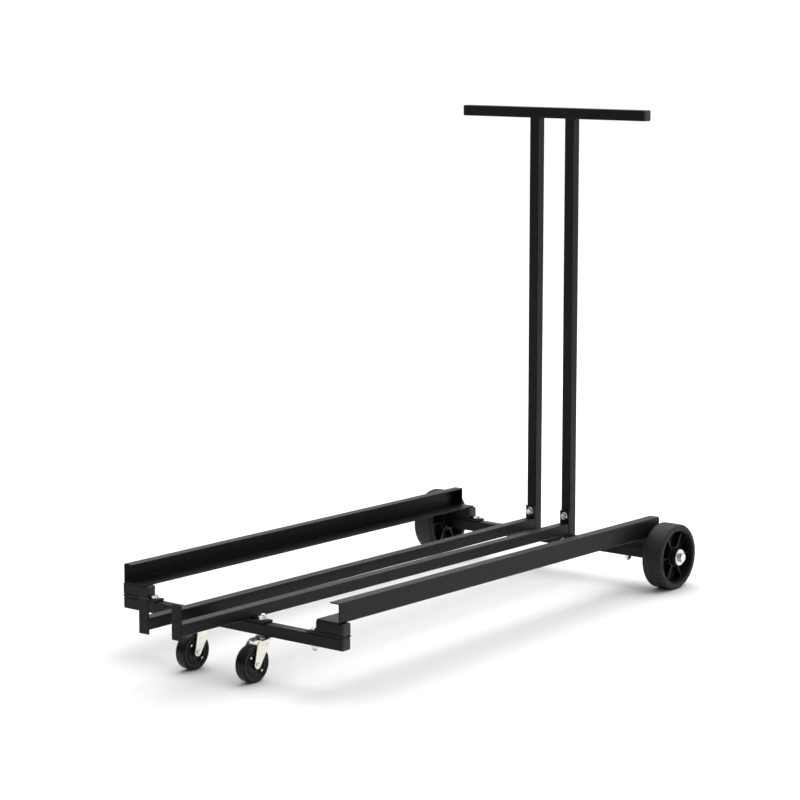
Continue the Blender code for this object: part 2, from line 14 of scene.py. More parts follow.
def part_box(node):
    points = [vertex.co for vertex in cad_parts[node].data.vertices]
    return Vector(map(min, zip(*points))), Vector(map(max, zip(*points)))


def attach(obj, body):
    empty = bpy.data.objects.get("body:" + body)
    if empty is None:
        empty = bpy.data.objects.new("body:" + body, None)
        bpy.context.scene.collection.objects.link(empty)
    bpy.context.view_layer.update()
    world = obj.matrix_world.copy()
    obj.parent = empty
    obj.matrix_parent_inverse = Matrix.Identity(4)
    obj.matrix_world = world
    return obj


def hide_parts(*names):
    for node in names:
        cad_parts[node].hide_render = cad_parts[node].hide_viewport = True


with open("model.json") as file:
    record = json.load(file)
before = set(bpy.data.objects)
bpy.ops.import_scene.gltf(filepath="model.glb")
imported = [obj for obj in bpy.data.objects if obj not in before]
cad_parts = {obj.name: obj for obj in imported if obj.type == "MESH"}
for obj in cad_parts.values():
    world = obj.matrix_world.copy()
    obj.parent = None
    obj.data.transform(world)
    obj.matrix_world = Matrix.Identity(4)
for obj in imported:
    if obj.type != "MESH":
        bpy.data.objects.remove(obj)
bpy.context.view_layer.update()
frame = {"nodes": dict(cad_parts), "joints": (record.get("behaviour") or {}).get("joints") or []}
joint_at = {joint["name"]: Vector(joint["pos_m"]) for joint in frame["joints"]}

# Middle of the rear axle, and the lean of the chassis about it
AXLE = joint_at["right_rear_wheel_roll"] * Vector((0, 1, 1))
LEAN = math.radians(1.48)
TILT = Matrix.Translation(AXLE) @ Matrix.Rotation(-LEAN, 4, "X") @ Matrix.Translation(-AXLE)
UPRIGHT = Matrix.Identity(4)
RAIL_TOE = math.radians(0.2056)
SIDES = (("left", -1), ("right", 1))
ENDS = ("front", "rear")

# Clearances, worn edges and square tube
GAP = 0.0003
EASE = 0.0004
WALL = 0.0020
CORNER = 0.0022
PLUG_FLANGE = 0.0030
PLUG_STUB = 0.0110
AXLE_BLOCK = 0.0260

# Bent sheet of the outer rails
CHANNEL_SHEET = 0.0030
CHANNEL_BEND = 0.0036
CHANNEL_LIP = 0.0256

# Weld beads: how far they stay from a seam's ends, their ripples and their radii
WELD_INSET = 0.0030
WELD_RIPPLE = 0.0017
TUBE_WELD = 0.0019
RAIL_WELD = 0.0016
SEAT_WELD = 0.0056

# Fasteners
THREAD_PITCH = 0.0013
THREAD_DEPTH = 0.0007
CLAMP_HEAD = 0.0062
CLAMP_SHANK = 0.0046
HITCH_FLATS = 0.0130
HITCH_HEAD = 0.0068
HITCH_SHANK = 0.0040
HITCH_THREAD = 0.0080
AXLE_FLATS = 0.0190
AXLE_HEAD = 0.0080
AXLE_R = 0.0062
AXLE_THREAD = 0.0200

# Rear wheels
TYRE_DEPTH = 0.0132
TYRE_SHOULDER = 0.0060
RIM_SETBACK = 0.0030
RIM_WALL = 0.0026
BOSS_R = 0.0215
SPOKES = 6
SPOKE_HALF = 0.0017
POCKET_FILLET = 0.0012

# Casters, with the crown's front edge measured from the pivot
CASTER_HALF = 0.0132
CASTER_SHOULDER = 0.0034
RIVET_R = 0.0026
FORK_SHEET = 0.0026
FORK_TIP_R = 0.0092
CROWN_FRONT = -0.0360
CROWN_CORNER = 0.0140
CROWN_SKIRT = 0.0072
CROWN_ROLL = 0.0024
STEM_R = 0.0048

# Camera, from the rear axle in the chassis's level frame
VIEW_LENS = 117.81
VIEW_TURN = math.radians(39.05)
VIEW_DIP = math.radians(8.62)
VIEW_FROM = Vector((3.6529, -5.0865, 1.2855))


class Graph:
    """A material's node tree, with short calls for the nodes used here."""

    def __init__(self, name):
        self.material = bpy.data.materials.new(name)
        self.material.use_nodes = True
        self.tree = self.material.node_tree
        self.shader = self.tree.nodes["Principled BSDF"]
        self.place = self.tree.nodes.new("ShaderNodeTexCoord").outputs["Object"]

    def link(self, value, socket):
        if isinstance(value, bpy.types.NodeSocket):
            self.tree.links.new(value, socket)
        else:
            socket.default_value = value

    def stretched(self, scale):
        node = self.tree.nodes.new("ShaderNodeMapping")
        self.link(self.place, node.inputs["Vector"])
        node.inputs["Scale"].default_value = scale
        return node.outputs["Vector"]

    def noise(self, scale, detail=2.0, stretch=None):
        node = self.tree.nodes.new("ShaderNodeTexNoise")
        self.link(self.stretched(stretch) if stretch else self.place, node.inputs["Vector"])
        node.inputs["Scale"].default_value = scale
        node.inputs["Detail"].default_value = detail
        return node.outputs["Fac"]

    def cells(self, scale):
        node = self.tree.nodes.new("ShaderNodeTexVoronoi")
        self.link(self.place, node.inputs["Vector"])
        node.inputs["Scale"].default_value = scale
        return node.outputs["Color"]

    def spread(self, value, low, high, start=0.3, end=0.7):
        """Value between start and end mapped to between low and high."""
        node = self.tree.nodes.new("ShaderNodeMapRange")
        self.link(value, node.inputs["Value"])
        node.inputs["From Min"].default_value = start
        node.inputs["From Max"].default_value = end
        node.inputs["To Min"].default_value = low
        node.inputs["To Max"].default_value = high
        return node.outputs["Result"]

    def blend(self, factor, first, second):
        node = self.tree.nodes.new("ShaderNodeMix")
        node.data_type = "RGBA"
        self.link(factor, node.inputs["Factor"])
        self.link(first, node.inputs[6])
        self.link(second, node.inputs[7])
        return node.outputs[2]

    def bump(self, height, strength, distance, under=None):
        node = self.tree.nodes.new("ShaderNodeBump")
        self.link(height, node.inputs["Height"])
        node.inputs["Strength"].default_value = strength
        node.inputs["Distance"].default_value = distance
        if under is not None:
            self.link(under, node.inputs["Normal"])
        return node.outputs["Normal"]

    def finish(self, colour, roughness, normal, metallic=0.0, specular=0.5):
        self.link(colour, self.shader.inputs["Base Color"])
        self.link(roughness, self.shader.inputs["Roughness"])
        self.link(normal, self.shader.inputs["Normal"])
        self.shader.inputs["Metallic"].default_value = metallic
        self.shader.inputs["Specular IOR Level"].default_value = specular
        return self.material


def grey(level, tint=(1.0, 1.0, 1.0)):
    return (level * tint[0], level * tint[1], level * tint[2], 1.0)


def powder_coat():
    """Satin black powder coat: an orange-peel skin with fine grain and slightly uneven gloss."""
    g = Graph("satin_powder_coat")
    cool = (0.98, 0.98, 1.06)
    colour = g.blend(g.spread(g.noise(9.0), 0.0, 1.0), grey(0.0028, cool), grey(0.0045, cool))
    roughness = g.spread(g.noise(38.0, 4.0), 0.36, 0.46)
    peel = g.bump(g.noise(620.0), 0.16, 0.0004)
    grain = g.bump(g.noise(2600.0), 0.10, 0.0002, peel)
    return g.finish(colour, roughness, grain, specular=0.13)


def moulded_black():
    """Injection moulded end caps, a little glossier than the paint."""
    g = Graph("moulded_black_plastic")
    warm = (1.05, 1.0, 0.96)
    colour = g.blend(g.noise(60.0), grey(0.007, warm), grey(0.011, warm))
    roughness = g.spread(g.noise(150.0, 3.0), 0.34, 0.46)
    return g.finish(colour, roughness, g.bump(g.noise(1500.0), 0.08, 0.0002), specular=0.24)


def tyre_rubber():
    """Solid rubber with a dull tread, faint lengthwise scuffs and a fine tooth."""
    g = Graph("solid_tyre_rubber")
    scuffs = g.noise(30.0, 5.0, stretch=(9.0, 1.0, 1.0))
    colour = g.blend(g.spread(scuffs, 0.0, 1.0, 0.45, 0.75), grey(0.009), grey(0.015, (1.04, 1.0, 0.97)))
    roughness = g.spread(g.noise(90.0, 4.0), 0.52, 0.70)
    tooth = g.bump(g.noise(1300.0, 3.0), 0.22, 0.0003)
    return g.finish(colour, roughness, tooth, specular=0.20)


def hub_plastic():
    g = Graph("hub_plastic")
    colour = g.blend(g.noise(45.0), grey(0.003), grey(0.006))
    roughness = g.spread(g.noise(120.0, 3.0), 0.34, 0.48)
    return g.finish(colour, roughness, g.bump(g.noise(900.0), 0.10, 0.0003), specular=0.15)


def caster_rubber():
    """Hard polished rubber of the small wheels."""
    g = Graph("hard_caster_rubber")
    colour = g.blend(g.noise(70.0, 3.0), grey(0.003), grey(0.006))
    roughness = g.spread(g.noise(160.0, 4.0), 0.24, 0.40)
    return g.finish(colour, roughness, g.bump(g.noise(1100.0), 0.10, 0.0002), specular=0.14)


def bright_zinc():
    """Bright zinc plate on bolts, nuts and washers: bluish, with soft plating marks."""
    g = Graph("bright_zinc_plate")
    marks = g.noise(260.0, 4.0)
    colour = g.blend(g.spread(marks, 0.0, 1.0), grey(0.48, (0.95, 1.0, 1.03)), grey(0.66, (0.96, 1.0, 1.02)))
    roughness = g.spread(g.noise(700.0, 3.0), 0.20, 0.38)
    return g.finish(colour, roughness, g.bump(g.noise(1800.0), 0.08, 0.0001), metallic=1.0)


def pressed_zinc():
    """Zinc on pressed caster steel: warm grey with a faint spangle and drawing marks."""
    g = Graph("pressed_caster_zinc")
    warm = (1.03, 1.0, 0.91)
    spangle = g.spread(g.cells(420.0), 0.0, 1.0, 0.1, 0.9)
    colour = g.blend(spangle, grey(0.60, warm), grey(0.74, warm))
    roughness = g.spread(g.noise(180.0, 5.0, stretch=(1.0, 1.0, 0.25)), 0.18, 0.38)
    return g.finish(colour, roughness, g.bump(g.noise(850.0, 3.0), 0.12, 0.0002), metallic=1.0)


LOOKS = {
    "paint": (powder_coat(), "powder_coat"),
    "cap": (moulded_black(), "end_caps"),
    "zinc": (bright_zinc(), "zinc"),
    "fork": (pressed_zinc(), "caster_steel"),
    "tyre": (tyre_rubber(), "tyre"),
    "hub": (hub_plastic(), "hub"),
    "caster": (caster_rubber(), "caster_rubber"),
}


def level_box(node, matrix=TILT):
    """Lowest and highest corner of a CAD node in the frame it was drawn in, level unless told."""
    level = matrix.inverted()
    points = [level @ vertex.co for vertex in frame["nodes"][node].data.vertices]
    return Vector(map(min, *points)), Vector(map(max, *points))


def toed_in(name, side):
    """The frame of a middle rail, turned about its rear end so that its front closes in."""
    low, high = level_box(f"{name}_hitch_plate")
    rear = Matrix.Translation(((low.x + high.x) / 2, low.y, 0.0))
    return TILT @ rear @ Matrix.Rotation(-side * RAIL_TOE, 4, "Z") @ rear.inverted()


def piece(name, bm, look, body="frame", stands_for=(), matrix=TILT, ease=0.0):
    """Turn a bmesh into a shown piece: eased edges, clean shading, its material and its body."""
    bmesh.ops.transform(bm, matrix=matrix, verts=bm.verts)
    bmesh.ops.recalc_face_normals(bm, faces=bm.faces)
    mesh = bpy.data.meshes.new(name)
    bm.to_mesh(mesh)
    bm.free()
    mesh.shade_smooth()
    material, slot = LOOKS[look]
    mesh.materials.append(material)
    obj = bpy.data.objects.new(name, mesh)
    bpy.context.scene.collection.objects.link(obj)
    if ease:
        bevel = obj.modifiers.new("eased_edges", "BEVEL")
        bevel.width = ease
        bevel.segments = 3
        bevel.limit_method = "ANGLE"
        bevel.angle_limit = math.radians(38)
        bevel.use_clamp_overlap = True
    else:
        mesh.set_sharp_from_angle(angle=math.radians(40))
    weighted = obj.modifiers.new("clean_shading", "WEIGHTED_NORMAL")
    weighted.keep_sharp = True
    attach(obj, body)
    if stands_for:
        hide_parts(*stands_for)
    return obj


def loft(rings, closed=False):
    """Skin a row of rings of equally many points, capped at both ends or joined into a ring."""
    bm = bmesh.new()
    rows = [[bm.verts.new(point) for point in ring] for ring in rings]
    count = len(rows[0])
    pairs = list(zip(rows, rows[1:]))
    if closed:
        pairs.append((rows[-1], rows[0]))
    for one, two in pairs:
        for i in range(count):
            j = (i + 1) % count
            bm.faces.new((one[i], one[j], two[j], two[i]))
    if not closed:
        bm.faces.new(rows[0])
        bm.faces.new(rows[-1])
    return bm


def on_axis(axis, t, u, v):
    """A point t along an axis, with u and v along the other two in X, Y, Z order."""
    point = [u, v]
    point.insert("XYZ".index(axis), t)
    return Vector(point)


def rounded_square(half, radius, steps=5):
    """Corner arcs of a square outline about the origin."""
    points = []
    for quarter in range(4):
        corner = Vector((1, 0))
        corner.rotate(Matrix.Rotation(math.radians(45 + 90 * quarter), 2))
        corner *= math.sqrt(2) * (half - radius)
        for step in range(steps + 1):
            angle = math.radians(90 * (quarter + step / steps))
            points.append(corner + Vector((math.cos(angle), math.sin(angle))) * radius)
    return points


def square_rings(sections, middle, axis, direction=1):
    """Rings of a square bar about a middle line: sections are (distance along, half width, corner)."""
    rings = []
    for distance, half, radius in sections:
        outline = rounded_square(half, radius)
        rings.append([on_axis(axis, direction * distance, *p) + middle for p in outline])
    return rings


def tube(node, axis, shorten=0.0, matrix=TILT):
    """A rolled square tube with round corners, eased ends and its hollow, where the CAD node is."""
    low, high = level_box(node, matrix)
    middle = (low + high) / 2
    index = "XYZ".index(axis)
    reach = (high - low)[index] / 2 - shorten
    half = (high - low)[(index + 1) % 3] / 2
    hollow = half - WALL
    sections = [
        (-reach, half - EASE, CORNER - EASE),
        (-reach + EASE, half, CORNER),
        (reach - EASE, half, CORNER),
        (reach, half - EASE, CORNER - EASE),
        (reach, hollow, CORNER - WALL),
        (-reach, hollow, CORNER - WALL),
    ]
    bm = loft(square_rings(sections, middle, axis), closed=True)
    return piece(f"{node}.tube", bm, "paint", stands_for=(node,), matrix=matrix)


def plug(name, tip, inward, half, flange, look="cap", stands_for=()):
    """A moulded end plug seen at a tube's end: a domed head with a rolled rim, and its stub inside."""
    roll = min(flange * 0.85, 0.0026)
    sections = [(0.0, half * 0.35, CORNER / 2), (roll * 0.10, half * 0.70, CORNER)]
    steps = 5
    for step in range(steps + 1):
        angle = math.radians(90 * step / steps)
        inset = roll * (1 - math.sin(angle))
        sections.append((roll * (0.25 + 0.75 * (1 - math.cos(angle))), half - inset, CORNER + roll / 3))
    stub = half - WALL - EASE
    lead = 2 * EASE
    sections += [
        (flange, half, CORNER + roll / 3),
        (flange, stub, CORNER / 3),
        (flange + PLUG_STUB, stub, CORNER / 3),
        (flange + PLUG_STUB + lead, stub - lead, CORNER / 4),
    ]
    bm = loft(square_rings(sections, tip, "X", inward))
    return piece(name, bm, look, stands_for=stands_for)


def block(low, high):
    """A plain closed box, to be eased by its piece's bevel."""
    corners = [(low.x, low.y), (high.x, low.y), (high.x, high.y), (low.x, high.y)]
    return loft([[Vector((x, y, z)) for x, y in corners] for z in (low.z, high.z)])


def plate(node, ease=0.0009, matrix=TILT):
    """A sheared plate with worn edges, where the CAD node is."""
    bm = block(*level_box(node, matrix))
    return piece(f"{node}.plate", bm, "paint", stands_for=(node,), matrix=matrix, ease=ease)


def arc(centre, radius, first, last, steps):
    """Points on an arc about a 2-D centre, angles in degrees."""
    angles = [math.radians(first + (last - first) * k / steps) for k in range(steps + 1)]
    return [(centre[0] + radius * math.cos(a), centre[1] + radius * math.sin(a)) for a in angles]


def outer_rail(name, side):
    """The bent channel: wide shelf below, wall, narrow lip on top, with true bend radii."""
    node = f"{name}_outer_rail"
    low, high = level_box(node)
    wall = max(abs(low.x), abs(high.x))
    shelf = min(abs(low.x), abs(high.x))
    lip = wall - CHANNEL_LIP
    inner = CHANNEL_BEND - CHANNEL_SHEET
    foot = (wall - CHANNEL_BEND, low.z + CHANNEL_BEND)
    head = (wall - CHANNEL_BEND, high.z - CHANNEL_BEND)
    outline = [(shelf, low.z)]
    outline += arc(foot, CHANNEL_BEND, -90, 0, 6)
    outline += arc(head, CHANNEL_BEND, 0, 90, 6)
    outline += [(lip, high.z), (lip, high.z - CHANNEL_SHEET)]
    outline += arc(head, inner, 90, 0, 4)
    outline += arc(foot, inner, 0, -90, 4)
    outline += [(shelf, low.z + CHANNEL_SHEET)]
    rings = [[Vector((side * x, y, z)) for x, z in outline] for y in (low.y, high.y)]
    piece(f"{node}.channel", loft(rings), "paint", stands_for=(node,), ease=0.0006)


def lathe(profile, centre, axis, segments=72, flip=1):
    """Turn a profile of (distance along the axis, radius) about a line through the centre.

    A point may also be a function of the angle that gives such a pair. A profile that begins and
    ends on the axis is closed there, and any other is joined into a ring. Flip -1 mirrors it.
    """
    bm = bmesh.new()
    rings = []
    for entry in profile:
        if not callable(entry) and entry[1] == 0.0:
            hub = bm.verts.new(on_axis(axis, flip * entry[0], 0.0, 0.0) + centre)
            rings.append([hub] * segments)
            continue
        ring = []
        for k in range(segments):
            angle = 2 * math.pi * k / segments
            t, radius = entry(angle) if callable(entry) else entry
            spot = on_axis(axis, flip * t, radius * math.cos(angle), radius * math.sin(angle))
            ring.append(bm.verts.new(spot + centre))
        rings.append(ring)
    pairs = list(zip(rings, rings[1:]))
    if rings[0][0] is not rings[0][1]:
        pairs.append((rings[-1], rings[0]))
    for one, two in pairs:
        for k in range(segments):
            n = (k + 1) % segments
            bm.faces.new(tuple(dict.fromkeys((one[k], one[n], two[n], two[k]))))
    return bm


def hexagon(flats, t, chamfer=0):
    """A ring point function for a hexagon; chamfer +1 or -1 cuts its corners back on that side."""

    def ring(angle):
        off = abs((angle + math.pi / 6) % (math.pi / 3) - math.pi / 6)
        radius = flats / 2 / math.cos(math.pi / 6 - off)
        drop = (radius - 0.49 * flats) * math.tan(math.radians(30))
        return (t - chamfer * drop, radius)

    return ring


def thread(start, end, radius):
    """Ridges of a screw thread between two distances."""
    direction = 1 if end > start else -1
    turns = max(1, int(abs(end - start) / THREAD_PITCH))
    points = []
    for k in range(turns):
        t = start + direction * k * THREAD_PITCH
        points.append((t, radius))
        points.append((t + direction * THREAD_PITCH / 2, radius - THREAD_DEPTH))
    return points + [(start + direction * turns * THREAD_PITCH, radius)]


def bolt_profile(flats, head, shank, length, threaded, flange=0.0):
    """Hex bolt seated at 0 with its head above and its shank below, threaded over its last part."""
    foot = 0.0016 if flange else 0.0006
    point = 0.0010
    dish = head - EASE
    profile = [(dish, 0.0), (dish, 0.30 * flats), (head, 0.36 * flats), (head, 0.44 * flats)]
    profile += [hexagon(flats, head, 1), hexagon(flats, foot)]
    if flange:
        profile += [(foot, 0.86 * flange), (foot * 5 / 8, 0.97 * flange), (foot * 5 / 16, flange)]
        profile += [(0.0, flange)]
    else:
        profile += [(foot, 0.48 * flats), (0.0, 0.47 * flats)]
    profile += [(0.0, shank)]
    profile += thread(-(length - threaded), -(length - point), shank)
    profile += [(-length, shank - point), (-length, 0.0)]
    return profile


def nut_profile(flats, start, end, hole):
    """Hex nut between two distances, with a countersunk hole."""
    sink = 0.0006
    return [
        (start, hole + sink),
        (start, 0.45 * flats),
        hexagon(flats, start, -1),
        hexagon(flats, end, 1),
        (end, 0.45 * flats),
        (end, hole + sink),
        (end - sink, hole),
        (start + sink, hole),
    ]


def weld(name, start, end, radius, matrix=TILT):
    """A rippled fillet bead laid along a seam between two points of a frame."""
    along = end - start
    length = along.length
    along.normalize()
    across = along.cross(Vector((0.0, 0.0, 1.0)))
    if across.length < 0.5:
        across = Vector((1.0, 0.0, 0.0))
    across.normalize()
    up = across.cross(along)
    ripples = max(4, round(length / WELD_RIPPLE))
    steps = 4 * ripples
    sides = 12
    rings = []
    for step in range(steps + 1):
        share = step / steps
        ripple = 0.84 + 0.16 * abs(math.sin(math.pi * ripples * share))
        taper = math.sqrt(max(0.0, 1 - (2 * share - 1) ** 8))
        size = radius * ripple * max(0.25, taper)
        ring = []
        for k in range(sides):
            angle = 2 * math.pi * k / sides
            bulge = across * math.cos(angle) + up * math.sin(angle)
            ring.append(start + along * (share * length) + bulge * size)
        rings.append(ring)
    return piece(f"{name}.weld", loft(rings), "paint", matrix=matrix)


def beams():
    """Cross beams, their plugs and the bored blocks that hold the axle bolts."""
    low, high = level_box("front_cross_beam")
    tube("front_cross_beam", "X", shorten=PLUG_FLANGE / 6)
    middle = (low + high) / 2
    half = (high.z - low.z) / 2
    for name, side in SIDES:
        node = f"{name}_beam_plug"
        plug_low, plug_high = level_box(node)
        tip = Vector((side * max(abs(plug_low.x), abs(plug_high.x)), middle.y, middle.z))
        plug(f"{node}.head", tip, -side, half, PLUG_FLANGE, stands_for=(node,))

    tube("rear_cross_beam", "X")
    low, high = level_box("rear_cross_beam")
    bore = level_box("right_axle_washer")
    shank = (bore[1].z - bore[0].z) / 2 * 0.33
    for name, side in SIDES:
        end = Vector((side * high.x, (low.y + high.y) / 2, (low.z + high.z) / 2))
        outer = 0.98 * (half - WALL - EASE / 2)
        ring = [(EASE, shank), (EASE, outer), (AXLE_BLOCK, outer), (AXLE_BLOCK, shank)]
        piece(f"{name}_axle_block", lathe(ring, end, "X", 48, -side), "paint")


def rails():
    """Outer and middle rails with their plates, and the beads that join them."""
    for name, side in SIDES:
        outer_rail(name, side)
        plate(f"{name}_rail_end_plate", 0.0006)
        plate(f"{name}_hitch_plate")
        plate(f"{name}_rail_seat", 0.0007)
        toed = toed_in(name, side)
        tube(f"{name}_middle_rail", "Y", matrix=toed)
        plate(f"{name}_stop_plate", matrix=toed)

        low, high = level_box(f"{name}_middle_rail", toed)
        for end, y in (("stop", low.y), ("hitch", high.y)):
            for level, z in (("top", high.z), ("foot", low.z)):
                seam = [Vector((x, y, z)) for x in (low.x + WELD_INSET, high.x - WELD_INSET)]
                weld(f"{name}_{end}_{level}", *seam, RAIL_WELD, toed)

        seat_low, seat_high = level_box(f"{name}_rail_seat")
        across = [toed @ Vector((side * max(abs(low.x), abs(high.x)), y, low.z)) for y in (low.y, high.y)]
        share = (TILT @ seat_low - across[0]).y / (across[1] - across[0]).y
        outboard = across[0].lerp(across[1], share).x
        ends = (seat_low.y + WELD_INSET, seat_high.y - WELD_INSET)
        seam = [Vector((outboard, y, seat_high.z)) for y in ends]
        weld(f"{name}_rail_seat", *seam, SEAT_WELD)


def spacers():
    """Plugged box spacers between beams and outer rails, each welded to its clamp plate."""
    start, stop = 0.0040, 0.0070
    for end in ENDS:
        for name, side in SIDES:
            node = f"{end}_{name}_spacer"
            low, high = level_box(node)
            near = min(abs(low.x), abs(high.x))
            far = max(abs(low.x), abs(high.x))
            half = (high.z - low.z) / 2
            middle = Vector((side * (near + far) / 2, (low.y + high.y) / 2, (low.z + high.z) / 2))
            reach = (far - near) / 2 - PLUG_FLANGE
            hollow = half - WALL
            sections = [
                (-reach, half, CORNER),
                (reach, half, CORNER),
                (reach, hollow, CORNER - WALL),
                (-reach, hollow, CORNER - WALL),
            ]
            bm = loft(square_rings(sections, middle, "X"), closed=True)
            piece(f"{node}.tube", bm, "paint", stands_for=(node,))
            for where, x, inward in (("outer", far, -side), ("inner", near, side)):
                tip = Vector((side * x, middle.y, middle.z))
                plug(f"{node}.{where}_plug", tip, inward, half, PLUG_FLANGE)
            plate(f"{end}_{name}_clamp_plate", EASE)
            outward = Vector((side * (far - near - start - stop), 0.0, 0.0))
            for edge, y in zip(ENDS, (low.y, high.y)):
                at = Vector((side * (near + start), y, low.z))
                weld(f"{node}_{edge}", at, at + outward, TUBE_WELD)


def hardware():
    """Clamp bolts and nuts on the beams, and the flanged hitch bolts."""
    for end in ENDS:
        for name, side in SIDES:
            node = f"{end}_{name}_clamp_bolt"
            low, high = level_box(node)
            nut_low, nut_high = level_box(f"{end}_{name}_clamp_nut")
            flats = high.y - low.y
            seat = Vector(((low.x + high.x) / 2, (low.y + high.y) / 2, high.z - CLAMP_HEAD))
            exposed = nut_low.z - low.z + 0.0010
            profile = bolt_profile(flats, CLAMP_HEAD, CLAMP_SHANK, seat.z - low.z, exposed)
            piece(f"{node}.hex", lathe(profile, seat, "Z", 48), "zinc", stands_for=(node,))
            hole = CLAMP_SHANK + 0.0001
            profile = nut_profile(flats, nut_low.z - seat.z, nut_high.z - seat.z, hole)
            node = f"{end}_{name}_clamp_nut"
            piece(f"{node}.hex", lathe(profile, seat, "Z", 48), "zinc", stands_for=(node,))
    for name, side in SIDES:
        for level in ("upper", "lower"):
            node = f"{name}_{level}_hitch_bolt"
            low, high = level_box(node)
            seat = Vector(((low.x + high.x) / 2, low.y + HITCH_HEAD, (low.z + high.z) / 2))
            size = (HITCH_FLATS, HITCH_HEAD, HITCH_SHANK, high.y - seat.y, HITCH_THREAD)
            profile = bolt_profile(*size, flange=(high.x - low.x) / 2)
            piece(f"{node}.hex", lathe(profile, seat, "Y", 48, -1), "zinc", stands_for=(node,))


def handle():
    """The bar with its end caps, on two posts welded at both ends."""
    tube("handle_bar", "X")
    bar_low, bar_high = level_box("handle_bar")
    middle = (bar_low + bar_high) / 2
    half = (bar_high.z - bar_low.z) / 2
    for name, side in SIDES:
        tube(f"{name}_post", "Z")
        node = f"{name}_handle_cap"
        cap_low, cap_high = level_box(node)
        tip = max(abs(cap_low.x), abs(cap_high.x))
        flange = tip - bar_high.x
        at = Vector((side * tip, middle.y, middle.z))
        plug(f"{node}.head", at, -side, half, flange, stands_for=(node,))
        low, high = level_box(f"{name}_post")
        for edge, x in (("left", low.x), ("right", high.x)):
            for end, z in (("foot", low.z), ("top", high.z)):
                seam = [Vector((x, y, z)) for y in (low.y + WELD_INSET, high.y - WELD_INSET)]
                weld(f"{name}_post_{edge}_{end}", *seam, TUBE_WELD)


def rear_tyre(name, side):
    """Solid tyre: slightly crowned tread with a mould line, round shoulders, ringed side walls."""
    node = f"{name}_rear_tyre"
    low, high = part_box(node)
    centre = Vector((0.0, AXLE.y, AXLE.z))
    near, far = sorted((abs(low.x), abs(high.x)))
    outer = (high.z - low.z) / 2
    bore = outer - TYRE_DEPTH
    middle = (near + far) / 2
    groove = EASE
    ring = bore + 0.0044
    crown = 0.0003
    line = 0.0001
    half = [(near + 0.0006, bore), (near + 0.0002, bore + 0.0008), (near, bore + 0.0022)]
    half += [(near, ring - groove), (near + groove, ring), (near, ring + groove)]
    half += arc((near + TYRE_SHOULDER, outer - crown - TYRE_SHOULDER), TYRE_SHOULDER, 180, 92, 8)
    half += [(middle - 0.0110, outer - line), (middle - 0.0008, outer - line)]
    half += [(middle - 0.0003, outer)]
    profile = half + [(2 * middle - t, radius) for t, radius in reversed(half)]
    tyre = lathe(profile, centre, "X", 144, side)
    piece(f"{node}.moulded", tyre, "tyre", f"{name}_rear_wheel", (node,), UPRIGHT)


def smooth_step(x):
    x = min(1.0, max(0.0, x))
    return x * x * (3 - 2 * x)


